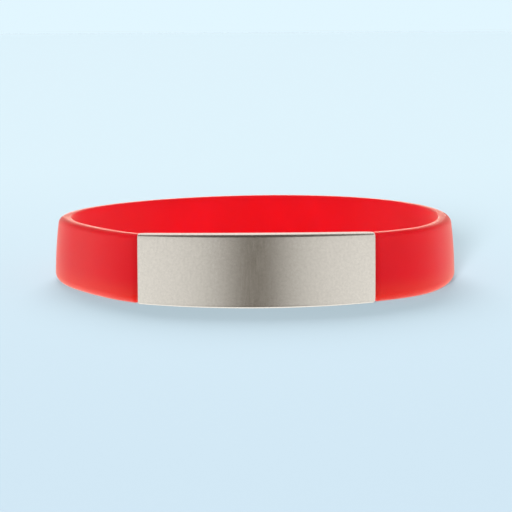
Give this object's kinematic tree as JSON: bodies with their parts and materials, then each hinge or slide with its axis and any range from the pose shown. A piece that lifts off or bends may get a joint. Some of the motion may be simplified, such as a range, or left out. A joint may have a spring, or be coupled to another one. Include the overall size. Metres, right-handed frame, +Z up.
{
  "type": "wristband bracelet",
  "caption": "Red silicone wristband bracelet, a whole loop lying on its edge, with a bowed satin steel plate folded round its front.",
  "frame": {"origin": "on the surface that the bracelet lies on, under the middle of its whole box", "axes": "+X to the right across the front, along the plate's length and the longest extent; -Y out of the plate's face; +Z up, along the axis of the loop and the shortest extent"},
  "size_m": [0.0708, 0.0699, 0.012],
  "materials": {
    "silicone": "matte, smooth",
    "steel": "satin, finely brushed"
  },
  "bodies": {
    "root": {"band": "silicone", "plate": "steel"}
  },
  "joints": []
}
